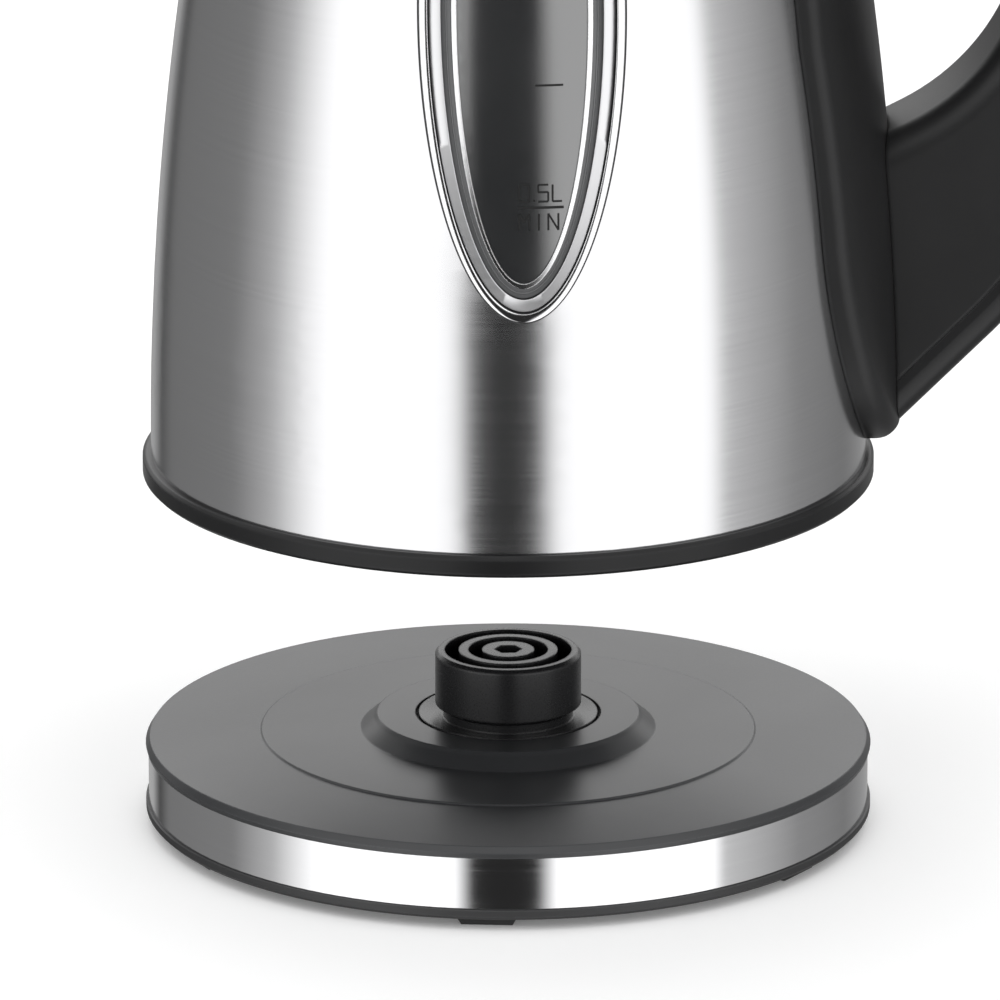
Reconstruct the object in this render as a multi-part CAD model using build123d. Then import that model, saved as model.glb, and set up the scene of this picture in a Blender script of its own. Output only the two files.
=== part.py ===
from build123d import *
from math import cos, radians, sin, sqrt, tan
import os

# Cordless electric kettle on a round power base. Millimetres, +Z up.
# Origin: on the connector axis, at the level of the table. Handle at +X, spout at -X, water window at -Y.
# The kettle hangs above its base, at the height that "lift_gap" gives.

# ---- fits and clearances ----
fit = 0.05            # between pieces that are pressed, seated or screwed together
running = 0.3         # between pieces that move past each other
sheet = 0.8           # steel sheet of the body, the spout and the band
shell = 2.0           # moulded plastic walls
bevel = 0.8           # small bevels on moulded edges
overrun = 1.0         # how far a cut runs past the face it opens

# ---- base ----
base_r = 80.0
foot_h = 2.3
foot_w = 13.4
foot_inset = 3.0      # from the base's edge to the feet
foot_len = 7.0
foot_turn = -96.0     # azimuth of the first foot
foot_count = 6
rim_h = 2.3           # visible edge of the bottom cover
band_h = 11.75
edge_h = 2.25         # side of the top cover, above the band
band_inset = 0.6      # band inside the two covers' edges
table_rise = 0.3      # edge of the top plate above its side
skirt_h = 4.0         # the top cover's wall behind the band
edge_round = 0.95
panel_r = 30.0        # rating panel in the middle of the underside
panel_drop = 1.3
plate_rise = 1.0      # fall of the top plate from its middle to its edge
step_r = 54.7
step_h = 0.4
collar_foot_r = 32.6
collar_r = 29.6
collar_h = 4.9
collar_t = 1.6
base_screw_inset = 12.0
base_screw_count = 3
base_screw_turn = foot_turn + 30.0
base_screw_l = 8.0
base_head_h = 0.9

# ---- connector post ----
post_r = 16.1
post_h = 19.3         # above the edge of the top plate
neck_r = 14.3
neck_h = 6.1
neck_bevel = 1.2
flange_r = 19.7
flange_gap = 0.8
rim_in_r = 14.0
wall_out_r = 10.9
wall_in_r = 8.8
boss_r = 5.75
socket_flats = 5.3
slot_depth = 13.0
flange_step = 4.3     # the flange's wider part, under the top cover
tail_wall = 2.7       # the post's foot outside its neck
contact_t = 0.4
earth_contact_h = 9.0
neutral_contact_h = 8.0
live_contact_h = 7.0
post_tail = 3.5       # how far the post reaches below the top cover

# ---- cord entry ----
cord_r = 3.4
cord_turn = foot_turn + 210.0
bushing_wall = 1.3
bushing_flange = 6.0
bushing_proud = 1.2
bushing_inside = 5.0  # sleeve inside the wall
clamp_inset = 22.0    # from the base's edge to the middle of the cord clamp
clamp_len = 10.0
clamp_w = 24.0
clamp_h = 9.8
clamp_screw_y = 8.5
base_lead_r = 1.1
base_lead_bend = 2.0
base_lead_pitch = 3.0
base_lead_ends = (12.0, 3.0, 7.5)     # distance from the axis where each lead turns up

# ---- kettle body ----
lift_gap = 60.8       # rim of the kettle above the edge of the top plate, as drawn
dock_gap = 0.6        # the same gap when the kettle stands on its base
rim_r = 80.2
rim_height = 4.8
rim_w = 5.5           # ring that the kettle stands on
body_r = 78.4
body_h = 200.0
body_top_r = 52.15    # the side is one arc, upright at its lower edge and leaning in to this radius
plate_z = 46.5        # top of the heating plate above the lower edge of the steel
recess_gap = 1.4      # round the collar of the base
foot_lift = 2.0       # underside above the bottom of the rim
inner_wall_h = 8.0    # wall of the bottom cover inside the steel
cover_screw_inset = 12.4
cover_screw_count = 3
cover_screw_turn = 30.0
tab_z = 10.0
tab_t = 1.5
tab_w = 12.0
socket_gap = 1.2      # round the post
socket_lip = 5.0
pin_t = 0.8
earth_pin_r = 12.1    # inner radius of the outer ring pin
neutral_pin_r = 6.8
live_pin_r = 1.5
pin_seat = 1.2        # how far the pins are set into the ceiling

# ---- water window, heights above the lower edge of the steel ----
window_foot = 51.4    # lower end of the bezel
window_head = 17.4    # its upper end, below the upper edge of the steel
window_w = 22.0       # half width of the bezel's outer edge
bezel_ring = 2.0
bezel_band = 2.7
groove_w = 2.2
frame_w = 1.1
bezel_proud = 0.5
band_deep = 0.6       # the bezel's inner band, below the body's surface
bezel_back = 1.8      # depths below the body's surface
gasket_front = 1.9
frame_deep = 1.0
window_back = 3.0
lens_t = 1.5
ring_t = 1.6          # clamp ring
ring_reach = 4.0      # how far the gasket and the clamp ring reach behind the body
ring_lap = 1.2        # how far the clamp ring laps over the lens
joint_lap = 0.01      # so that two layers of one piece are one solid

# ---- handle, in the plane through the axis, heights above the lower edge of the steel ----
grip_w = 30.0         # width across the handle
grip_out_x = 135.0    # outer edge of the grip
grip_in_x = 113.0     # inner edge of the grip
grip_round = 6.0
heel_x = 79.0
heel_z = 2.4
heel_slope = 44.5     # degrees, of the straight lower edge
low_arc_r = 98.7
handle_over = 0.63    # the handle's top edge above the collar's, where they meet
top_arc_r = 75.0
top_turn = 70.0
cover_t = 8.0         # thickness of the outer cover strip
cover_wall = 2.5
hollow_h = 150.0      # the cover strip is hollow up to here, above its heel
gap_arc_r = 48.6
gap_low_z = 119.0
gap_start = 63.4      # degrees below level, where the finger gap's lower arc begins
handle_wall = 3.0
pad_proud = 7.7       # mounting plate, at its middle
pad_axis_x = 22.0     # the plate's outer face is turned about this line
pad_half_w = 38.3
pad_low_h = 54.6      # height of its rounded lower end
pad_low_z = 57.0
pad_wide_z = 100.0    # above this the plate narrows
pad_top_half_w = 28.0
pad_round = 3.5
handle_screw_zs = (38.0, 62.0)
handle_screw_l = 9.5
screw_seat = 1.0      # the head stands this far off the handle's inner wall
lead_inset = 13.0
lead_side = 5.0
lead_r = 1.0

# ---- power switch, a rocker in the top of the handle ----
switch_along = 11.0   # from the end of the top arc to the middle of the rocker
rocker_len = 21.0
rocker_w = 14.0
rocker_h = 6.0
rocker_proud = 1.4
rocker_pin_r = 1.5
rocker_pin_deep = 3.4
pocket_gap = 1.5      # at each end of the rocker
pocket_deep = 7.2

# ---- top collar and lid ----
collar_top_h = 9.0
collar_wall = 4.0
collar_skirt = 8.0    # part of the collar inside the steel
ledge_in_r = 44.0
ledge_h = 1.5
lug_x = 60.0
lid_gap = 0.6
plug_gap = 1.1
plug_drop = 3.0
seal_t = 0.8
lid_rise = 3.0        # crown of the lid above the collar
lid_wall = 2.2
shoulder_drop = 1.0   # the crown's edge below the collar's top
hinge_x = 50.0
hinge_up = 1.2        # hinge pin above the collar's top
hinge_pin_r = 1.5
knuckle_r = 3.4
knuckle_w = 22.0
ear_w = 5.0
thumb_reach = 9.0
thumb_w = 20.0
thumb_t = 2.4
thumb_up = 0.8
thumb_root = 14.0
arm_reach = 14.0
arm_h = 5.8           # less than the knuckle's width across
seal_seat = 2.0       # flange of the lid's inner plate
handle_back_x = 30.0  # the handle is drawn from here, inside the body

# ---- spout ----
spout_reach = 84.0
spout_low = 50.0      # its lowest point, below the upper edge of the steel
spout_over = 6.0      # its lip, above the same edge
spout_half_w = 30.0
filter_t = 1.6
filter_slot = 2.4
filter_pitch = 4.0
filter_edge = 4.0     # closed border round the slots
spout_foot_w = 6.0    # half width at the spout's lowest point
spout_foot_nose = 2.5
spout_nose = 8.0
spout_root = 12.0     # how far the tapered shape starts inside the body's side
mouth_inset = 2.0     # mouth in the body, inside the spout's outline
mouth_over = 20.0     # its lower edge above the spout's lowest point
mouth_under = 3.0     # its upper edge below the collar's skirt

# ---- heater and its control ----
spreader_r = 56.0
spreader_t = 3.0
element_r = 42.0
element_tube_r = 3.8
element_gap = 50.0    # degrees left open in the ring
control_r = 26.0
control_h = 16.0
disc_r = 8.0
disc_t = 0.6
disc_count = 2
disc_place = 13.0     # distance of each bimetal disc from the axis
ear_t = 5.0
ear_r = 5.0
ear_out = 4.5         # ears' screws outside the control unit
ear_count = 3
ear_turn = 90.0
stud_r = 4.0
control_gap = 2.5     # over the socket's roof
control_screw_l = 11.0
heater_t = 1.2
heater_edge = 7.0     # turned-down edge of the heating plate
cold_end = 9.0

# ---- screws ----
screw_r = 1.5
screw_head_r = 2.8
screw_head_h = 2.0
boss_wall = 2.2

# ---- levels worked out from the sizes above ----
floor_z = foot_h                               # underside of the bottom cover
band_z = floor_z + rim_h
band_top = band_z + band_h
edge_z = band_top + edge_h
table_top = edge_z + table_rise                # edge of the top plate: height zero of the connector
rim_z = table_top + lift_gap
steel_z = rim_z + rim_height                   # lower edge of the steel
steel_top = steel_z + body_h
collar_top = steel_top + collar_top_h
hinge_z = collar_top + hinge_up
body_lean = body_r - body_top_r
body_arc = (body_h ** 2 + body_lean ** 2) / (2 * body_lean)    # radius of the side's arc
foot_r = base_r - foot_inset                   # outer edge of the feet
base_screw_r = base_r - base_screw_inset
clamp_at = base_r - clamp_inset                # distance of the cord clamp from the axis
cover_screw_r = body_r - cover_screw_inset
window_z = (window_foot + body_h - window_head) / 2    # middle of the window, above the steel's lower edge
window_h = (body_h - window_head - window_foot) / 2    # half height of the window
spout_low_z = body_h - spout_low               # above the steel's lower edge
spout_top_z = body_h + spout_over
heater_z = steel_z + plate_z                   # top of the heating plate
dock_z = rim_z - dock_gap                      # where the connector's height zero is on the docked kettle
recess_z = dock_z + collar_h + recess_gap      # ceiling of the recess that clears the collar
control_z = dock_z + post_h + socket_gap + shell + control_gap   # underside of the control unit


# ---- shapes used again and again ----
def outline(*points):
    """A flat closed outline through the points."""
    return make_face(Polyline(*points, close=True))


def side_arc(radius_at, low, high):
    """Arc of the body's side between two heights, at the radius that is given for each height."""
    heights = (low, (low + high) / 2, high)
    return ThreePointArc(*[(radius_at(z), z) for z in heights])


def turned(sketch):
    """An outline of radius and height, turned about the axis."""
    return revolve(Plane.XZ * sketch, Axis.Z)


def ring(outer, inner, low, high):
    """A plain ring about the axis."""
    return turned(outline((inner, low), (outer, low), (outer, high), (inner, high)))


def disc(radius, low, high):
    """A plain disc about the axis."""
    return Pos(0, 0, low) * extrude(Circle(radius), high - low)


def around(piece, count, start, radius=0.0):
    """Copies of one piece, equally spaced about the axis."""
    turns = [start + 360.0 * i / count for i in range(count)]
    return [Rot(0, 0, turn) * Pos(radius, 0, 0) * piece for turn in turns]


def union(pieces):
    """One shape from several."""
    total = pieces[0]
    for piece in pieces[1:]:
        total = total + piece
    return total


def without(piece, cuts):
    """A shape with each cut taken away."""
    for cut in cuts:
        piece = piece - cut
    return piece


def wall_r(z, offset=0.0):
    """Radius of the body's side at a height, moved out by the offset."""
    rise = z - steel_z
    return body_r - body_arc + sqrt((body_arc + offset) ** 2 - rise ** 2)


def wall_layer(outer, inner, low, high):
    """A layer of the body's side between two offsets."""
    out_arc = side_arc(lambda z: wall_r(z, outer), low, high)
    in_arc = side_arc(lambda z: wall_r(z, inner), low, high)
    ends = [Line(out_arc @ 0, in_arc @ 0), Line(out_arc @ 1, in_arc @ 1)]
    return turned(make_face([out_arc, in_arc] + ends))


def wall_solid(offset, low, high):
    """Everything inside the body's side, out to the offset."""
    arc = side_arc(lambda z: wall_r(z, offset), low, high)
    ends = Polyline(arc @ 0, (0, low), (0, high), arc @ 1)
    return turned(make_face([arc] + ends.edges()))


def screw(length):
    """A pan head screw, its head's underside at zero and its tip down."""
    head = extrude(Circle(screw_head_r), screw_head_h)
    return head + extrude(Circle(screw_r), -length)


# ---- base ----
def base_top_cover():
    """Top plate with its step, the collar round the connector, the side and three screw bosses."""
    middle_z = table_top + plate_rise + step_h
    wall_out = base_r - band_inset - sheet - fit
    face = [
        (flange_r + flange_gap, table_top + collar_h),
        (collar_r - bevel, table_top + collar_h),
        (collar_r, table_top + collar_h - bevel),
        (collar_foot_r, middle_z + 0.1),
        (step_r - step_h, middle_z),
        (step_r, middle_z - step_h),
        (base_r - edge_round, table_top),
        (base_r, edge_z - edge_h / 2),
        (base_r - 0.3, band_top),
        (wall_out, band_top),
        (wall_out, band_top - skirt_h),
        (wall_out - shell, band_top - skirt_h),
        (wall_out - shell, table_top - shell),
        (collar_r - collar_t, middle_z - shell),
        (collar_r - collar_t, table_top + collar_h - shell),
        (flange_r + flange_gap, table_top + collar_h - shell),
    ]
    cover = turned(outline(*face))
    boss_low = floor_z + shell + fit
    boss = ring(screw_r + boss_wall, screw_r + fit, boss_low, table_top - shell / 2)
    cover = union([cover] + around(boss, base_screw_count, base_screw_turn, base_screw_r))
    return cover - cord_hole(cord_r + bushing_wall + fit)


def base_band():
    """Polished steel band, with the hole that the cord bushing passes through."""
    band = ring(base_r - band_inset, base_r - band_inset - sheet, band_z + fit, band_top - fit)
    return band - cord_hole(cord_r + bushing_wall + fit)


def cord_height():
    """Middle of the cord entry."""
    return band_z + band_h / 2


def cord_bar(radius, start, end):
    """A round bar along the cord's way out of the base."""
    bar = Plane.YZ * extrude(Circle(radius), end - start)
    return Rot(0, 0, cord_turn) * Pos(start, 0, cord_height()) * bar


def cord_hole(radius):
    """The cord's hole through the walls of the base."""
    return cord_bar(radius, base_r - 12.0, base_r + 10.0)


def base_bottom_cover():
    """Floor with the rating panel, the visible edge, the inner wall and the screw seats."""
    inner_r = base_r - band_inset - sheet - fit
    wall_top = band_top - skirt_h - fit
    profile = [
        (0, floor_z - panel_drop),
        (panel_r, floor_z - panel_drop),
        (panel_r + panel_drop, floor_z),
        (base_r - bevel, floor_z),
        (base_r, floor_z + bevel),
        (base_r, band_z),
        (inner_r, band_z),
        (inner_r, wall_top),
        (inner_r - shell, wall_top),
        (inner_r - shell, floor_z + shell),
        (0, floor_z + shell),
    ]
    cover = turned(outline(*profile))
    hole = disc(screw_r + fit, floor_z - overrun, floor_z + shell + overrun)
    seat = disc(screw_head_r + fit, floor_z - overrun, floor_z + shell / 2)
    cuts = around(hole + seat, base_screw_count, base_screw_turn, base_screw_r)
    return without(cover, cuts + [cord_hole(cord_r + bushing_wall + fit)])


def base_feet():
    """Six rubber pads, each wider where it meets the cover."""
    narrow = foot_w - foot_h
    top = Rectangle(foot_len, foot_w)
    bottom = Rectangle(foot_len - foot_h, narrow)
    pad = loft([Pos(0, 0, 0) * bottom, Pos(0, 0, floor_z) * top])
    return Compound(around(pad, foot_count, foot_turn, foot_r - foot_len / 2))


def base_screws():
    """Three screws, from below through the floor into the bosses of the top cover."""
    seat = floor_z + shell / 2
    one = disc(screw_head_r, seat - base_head_h, seat) + disc(screw_r, seat, seat + base_screw_l)
    return Compound(around(one, base_screw_count, base_screw_turn, base_screw_r))


# ---- cord entry, inside the base ----
def cord_bushing():
    """Rubber bushing, with a flange on each side of the wall."""
    wall_in = base_r - band_inset - sheet - fit - shell
    sleeve = cord_bar(cord_r + bushing_wall, wall_in - bushing_inside, base_r + bushing_proud)
    outside = cord_bar(bushing_flange, base_r + 2 * fit, base_r + bushing_proud)
    flat = sqrt(wall_in ** 2 - bushing_flange ** 2)
    inside = cord_bar(bushing_flange, flat - shell, flat - fit)
    return sleeve + outside + inside - cord_bar(cord_r, 0.0, base_r + 10.0)


def cord_clamp():
    """Block that holds the cord, screwed down behind the bushing."""
    low = floor_z + shell + fit
    block = Pos(clamp_at, 0, low) * Box(
        clamp_len, clamp_w, clamp_h, align=(Align.CENTER, Align.CENTER, Align.MIN)
    )
    hole = disc(screw_r + fit, low, low + clamp_h + overrun)
    holes = [Pos(clamp_at, side * clamp_screw_y, 0) * hole for side in (-1, 1)]
    block = Rot(0, 0, cord_turn) * without(block, holes)
    return block - cord_bar(cord_r, 0.0, base_r)


def cord_clamp_screws():
    """Two screws through the clamp."""
    top = floor_z + shell + fit + clamp_h
    pair = [Pos(clamp_at, side * clamp_screw_y, top) * screw(clamp_h - 0.5) for side in (-1, 1)]
    return Compound([Rot(0, 0, cord_turn) * one for one in pair])


def wire(points, radius, bend):
    """A round wire along straight runs with rounded corners."""
    path = FilletPolyline(*points, radius=bend)
    return sweep(Plane(origin=path @ 0, z_dir=path % 0) * Circle(radius), path)


def base_leads():
    """Three leads from the clamp to the underside of the connector."""
    low = cord_height()
    high = table_top - post_tail - fit
    start = clamp_at - clamp_len / 2 - overrun
    leads = []
    for i, end in enumerate(base_lead_ends):
        side = (i - 1) * base_lead_pitch
        points = [(start, side, low), (end, side, low), (end, side, high)]
        leads.append(wire(points, base_lead_r, base_lead_bend))
    return Compound([Rot(0, 0, cord_turn) * lead for lead in leads])


# ---- connector in the base ----
def slot_floor():
    """Bottom of the two ring slots."""
    return table_top + post_h - slot_depth


def connector_housing():
    """The round post with its two ring slots and its middle hole."""
    top = table_top + post_h
    collar_z = table_top + collar_h
    shelf = collar_z - shell - 2 * fit
    profile = [
        (0, top),
        (post_r - bevel, top),
        (post_r, top - bevel),
        (post_r, table_top + neck_h + neck_bevel),
        (neck_r, table_top + neck_h),
        (neck_r, collar_z - bevel),
        (flange_r, collar_z + 2 * fit),
        (flange_r, shelf),
        (flange_r + flange_step, shelf),
        (flange_r + flange_step, shelf - shell),
        (neck_r + tail_wall, shelf - shell),
        (neck_r + tail_wall, table_top - post_tail),
        (0, table_top - post_tail),
    ]
    post = turned(outline(*profile))
    slots = [
        ring(rim_in_r, wall_out_r, slot_floor(), top + overrun),
        ring(wall_in_r, boss_r, slot_floor(), top + overrun),
    ]
    hexagon = RegularPolygon(socket_flats / 2, 6, major_radius=False)
    hole = Pos(0, 0, slot_floor()) * extrude(hexagon, slot_depth + overrun)
    return without(post, slots + [hole])


def connector_clamp():
    """Ring that holds the connector's flange up against the cover."""
    top = table_top + collar_h - 2 * shell - 3 * fit
    return ring(collar_r - collar_t - fit, neck_r + tail_wall + fit, top - shell, top)


def contact_earth_ring():
    """Earth contact, round the inside of the outer slot."""
    low = slot_floor() + fit
    return ring(wall_out_r + fit + contact_t, wall_out_r + fit, low, low + earth_contact_h)


def contact_neutral_ring():
    """Neutral contact, round the outside of the inner slot."""
    low = slot_floor() + fit
    return ring(wall_in_r - fit, wall_in_r - fit - contact_t, low, low + neutral_contact_h)


def contact_live_clip():
    """Live contact, a tube in the middle hole."""
    low = slot_floor() + fit
    return ring(socket_flats / 2 - fit, socket_flats / 2 - fit - contact_t, low, low + live_contact_h)


# ---- connector in the kettle ----
def socket_ceiling():
    """Top of the hollow that the post enters."""
    return dock_z + post_h + socket_gap


def pin_ring(outer, inner):
    """A ring pin, from its groove in the ceiling down into its slot."""
    return ring(outer, inner, dock_z + post_h - slot_depth + pin_seat, socket_ceiling() + pin_seat)


def socket_housing():
    """Cup that drops over the post, with a flange that rests on the bottom cover."""
    inner = post_r + socket_gap
    outer = inner + shell
    flange_z = recess_z + shell + running
    roof = socket_ceiling() + shell
    profile = [
        (0, roof),
        (outer, roof),
        (outer, flange_z + shell),
        (outer + socket_lip, flange_z + shell),
        (outer + socket_lip, flange_z),
        (outer, flange_z),
        (outer, recess_z),
        (inner, recess_z),
        (inner, socket_ceiling()),
        (0, socket_ceiling()),
    ]
    cup = turned(outline(*profile))
    top = socket_ceiling() + pin_seat + fit
    low = socket_ceiling() - overrun
    grooves = [
        ring(earth_pin_r + pin_t + fit, earth_pin_r - fit, low, top),
        ring(neutral_pin_r + pin_t + fit, neutral_pin_r - fit, low, top),
        disc(live_pin_r + fit, low, top),
    ]
    return without(cup, grooves)


def socket_earth_ring():
    """Outer ring pin."""
    return pin_ring(earth_pin_r + pin_t, earth_pin_r)


def socket_neutral_ring():
    """Inner ring pin."""
    return pin_ring(neutral_pin_r + pin_t, neutral_pin_r)


def socket_live_pin():
    """Middle pin."""
    return disc(live_pin_r, dock_z + post_h - slot_depth + 2 * pin_seat, socket_ceiling() + pin_seat)


# ---- kettle body ----
def window_prism(inset):
    """An upright bar from the axis out through the window, with the inset window's outline."""
    oval = Pos(0, steel_z + window_z) * Ellipse(window_w - inset, window_h - inset)
    return extrude(Plane.XZ * oval, 2 * body_r)


def window_layer(outer, inner, large, small):
    """Part of a wall layer between two insets of the window's outline, or a full pane."""
    low = steel_z + window_z - window_h - 2 * ring_reach
    high = steel_z + window_z + window_h + 2 * ring_reach
    layer = wall_layer(outer, inner, low, high) & window_prism(large)
    if small is None:
        return layer
    return layer - window_prism(small)


def wedge_section(base_x, half_w, tip_x, nose):
    """Triangle in plan, pointing away from the handle, with a round nose."""
    face = outline((base_x, half_w), (tip_x, 0), (base_x, -half_w))
    return fillet(face.vertices().sort_by(Axis.X)[0], nose)


def spout_wedge(inset):
    """The spout's tapered body, from a point low on the side to the wide lip."""
    low_z = steel_z + spout_low_z
    low_x = -wall_r(low_z)
    nose = spout_foot_nose - inset
    foot = wedge_section(low_x + spout_root, spout_foot_w - inset, low_x + 1.5 * inset, nose)
    base_x = spout_root - wall_r(steel_top)
    top = wedge_section(base_x, spout_half_w - inset, 1.5 * inset - spout_reach, spout_nose - inset)
    return loft([Pos(0, 0, low_z) * foot, Pos(0, 0, steel_z + spout_top_z) * top], ruled=True)


def spout_mouth():
    """Hole through the body's side, inside the spout and below the collar."""
    low = steel_z + spout_low_z + mouth_over
    high = steel_top - collar_skirt - mouth_under
    room = Box(2 * body_r, 2 * spout_half_w, high - low, align=(Align.MAX, Align.CENTER, Align.MIN))
    return (Pos(0, 0, low) * room) & spout_wedge(mouth_inset)


def body_shell():
    """Steel side, open at both ends, with the window's hole and the spout's mouth."""
    side = wall_layer(0.0, -sheet, steel_z, steel_top)
    return without(side, [window_prism(-fit), spout_mouth()])


def spout():
    """Folded steel spout, welded over the mouth."""
    low = steel_z + spout_low_z - 5.0
    high = steel_z + spout_top_z + 5.0
    skin = spout_wedge(0.0) - spout_wedge(sheet)
    collar_room = disc(wall_r(steel_top) + fit, steel_top - overrun, high)
    return without(skin, [wall_solid(fit, low, high), collar_room])


def spout_filter():
    """Frame and bars that stand inside the mouth."""
    low = steel_z + spout_low_z + 16.0
    high = steel_top - collar_skirt - fit
    half = spout_half_w - 8.0
    layer = wall_layer(-sheet - fit, -sheet - fit - filter_t, low, high)
    block = Box(base_r, 2 * half, high - low, align=(Align.MAX, Align.CENTER, Align.MIN))
    frame = layer & (Pos(0, 0, low) * block)
    count = int((2 * half - 2 * filter_edge) / filter_pitch)
    slots = []
    for i in range(count):
        side = (i - (count - 1) / 2) * filter_pitch
        length = high - low - 2 * filter_edge
        cut = Box(base_r, filter_slot, length, align=(Align.MAX, Align.CENTER, Align.MIN))
        slots.append(Pos(0, side, low + filter_edge) * cut)
    return without(frame, slots)


def kettle_bottom_cover():
    """Black underside with its rim, the recess for the connector and three screw bosses."""
    hole_r = post_r + socket_gap + shell + running
    wall_out = wall_r(steel_z + inner_wall_h, -sheet - fit)
    recess_r = collar_foot_r + recess_gap
    profile = [
        (hole_r, recess_z),
        (recess_r, recess_z),
        (recess_r, rim_z + foot_lift),
        (rim_r - rim_w - bevel, rim_z + foot_lift),
        (rim_r - rim_w, rim_z),
        (rim_r - bevel, rim_z),
        (rim_r, rim_z + bevel),
        (rim_r, steel_z - bevel),
        (rim_r - bevel, steel_z - fit),
        (wall_out, steel_z - fit),
        (wall_out, steel_z + inner_wall_h),
        (wall_out - shell, steel_z + inner_wall_h),
        (wall_out - shell, rim_z + foot_lift + shell),
        (recess_r + shell, rim_z + foot_lift + shell),
        (recess_r + shell, recess_z + shell),
        (hole_r, recess_z + shell),
    ]
    cover = turned(outline(*profile))
    low = rim_z + foot_lift
    boss = disc(screw_head_r + boss_wall, low, steel_z + tab_z - fit)
    cover = union([cover] + around(boss, cover_screw_count, cover_screw_turn, cover_screw_r))
    well = disc(screw_head_r + running, low - overrun, steel_z)
    hole = disc(screw_r + fit, low - overrun, steel_z + tab_z + overrun)
    return without(cover, around(well + hole, cover_screw_count, cover_screw_turn, cover_screw_r))


def bottom_screws():
    """Three screws, from below up into the tabs."""
    one = Pos(0, 0, steel_z - fit) * Rot(180, 0, 0) * screw(tab_z + 2 * shell)
    return Compound(around(one, cover_screw_count, cover_screw_turn, cover_screw_r))


def cover_tabs():
    """Three bent steel tabs, welded inside the side, that the bottom cover is screwed to."""
    low = steel_z + tab_z
    inside = wall_solid(-sheet - fit, low, low + tab_w)
    hollow = wall_solid(-sheet - fit - tab_t, low + tab_t, low + tab_w + overrun)
    block = Pos(cover_screw_r - tab_w / 2, 0, low) * Box(
        2 * tab_w, tab_w, tab_w, align=(Align.MIN, Align.CENTER, Align.MIN)
    )
    hole = Pos(cover_screw_r, 0, 0) * disc(screw_r + fit, low - overrun, low + tab_t + overrun)
    tab = ((inside - hollow) & block) - hole
    return Compound(around(tab, cover_screw_count, cover_screw_turn))


# ---- heater ----
def heating_plate():
    """Steel floor of the vessel, with a turned-down edge welded inside the side."""
    low = heater_z - heater_edge
    outer = wall_solid(-sheet - fit, low, heater_z)
    return outer - wall_solid(-sheet - fit - heater_t, low - overrun, heater_z - heater_t)


def spreader_low():
    """Underside of the aluminium plate."""
    return heater_z - heater_t - fit - spreader_t


def at_ears(piece):
    """Copies of one piece at the control unit's ears."""
    return around(piece, ear_count, ear_turn, control_r + ear_out)


def heat_spreader():
    """Aluminium disc under the heating plate, with three studs for the control."""
    plate = disc(spreader_r, spreader_low(), heater_z - heater_t - fit)
    stud = disc(stud_r, control_z + ear_t + fit, spreader_low() + spreader_t / 2)
    hole = disc(screw_r + fit, control_z + ear_t - overrun, spreader_low() - fit)
    plate = union([plate] + at_ears(stud))
    return without(plate, at_ears(hole))


def heating_element():
    """Tubular ring with a cold end turned down at each side of its gap."""
    middle = spreader_low() - fit - element_tube_r
    tube = revolve(Plane.XZ * Pos(element_r, middle) * Circle(element_tube_r), Axis.Z, 360.0 - element_gap)
    end = Pos(element_r, 0, 0) * disc(element_tube_r - 4 * fit, middle - cold_end, middle)
    ends = [end, Rot(0, 0, 360.0 - element_gap) * end]
    return Rot(0, 0, element_gap / 2) * union([tube] + ends)


def control_body():
    """Moulded control unit with three ears, above the socket."""
    block = disc(control_r, control_z, control_z + control_h)
    ear = disc(ear_r, control_z, control_z + ear_t)
    bridge = Pos(-ear_r, 0, control_z) * Box(
        2 * ear_r, 2 * stud_r, ear_t, align=(Align.CENTER, Align.CENTER, Align.MIN)
    )
    hole = disc(screw_r + fit, control_z - overrun, control_z + ear_t + overrun)
    gap = disc(stud_r + running, control_z + ear_t, control_z + control_h + overrun)
    post = disc(disc_r / 2, control_z + control_h - overrun, spreader_low() - disc_t - 2 * fit)
    block = union([block] + at_ears(ear + bridge) + around(post, disc_count, 0.0, disc_place))
    return without(block, at_ears(hole + gap))


def control_discs():
    """Two bimetal discs, held against the aluminium plate."""
    one = disc(disc_r, spreader_low() - disc_t - fit, spreader_low() - fit)
    return Compound(around(one, disc_count, 0.0, disc_place))


def control_screws():
    """Three screws, from below through the ears into the studs."""
    one = Pos(0, 0, control_z) * Rot(180, 0, 0) * screw(control_screw_l)
    return Compound(at_ears(one))


# ---- water window ----
def window_bezel():
    """Steel ring: a proud outer edge and a lower inner band."""
    proud = window_layer(bezel_proud, -bezel_back, 0.0, bezel_ring)
    band = window_layer(-band_deep, -bezel_back, bezel_ring - joint_lap, bezel_ring + bezel_band)
    return proud + band


def window_gasket():
    """Silicone ring behind the bezel and the edge of the steel."""
    inner = bezel_ring + bezel_band + groove_w
    behind = window_layer(-sheet - fit, -window_back, -ring_reach, -fit)
    floor = window_layer(-gasket_front, -window_back, -fit - joint_lap, inner - fit)
    return behind + floor


def window_frame():
    """Bright ring round the lens."""
    inner = bezel_ring + bezel_band + groove_w
    return window_layer(-frame_deep, -window_back, inner, inner + frame_w)


def window_lens():
    """Smoked pane."""
    edge = bezel_ring + bezel_band + groove_w + frame_w + fit
    return window_layer(lens_t - window_back, -window_back, edge, None)


def window_clamp():
    """Ring inside the vessel that presses the gasket and the lens outward."""
    edge = bezel_ring + bezel_band + groove_w + frame_w + ring_lap
    return window_layer(-window_back - fit, -window_back - ring_t, -ring_reach, edge)


# ---- handle ----
def reach_back(point, direction):
    """Where a line from the point meets the plane that the handle is drawn from, inside the body."""
    share = (handle_back_x - point.X) / direction.X
    return (handle_back_x, point.Y + share * direction.Y)


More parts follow.
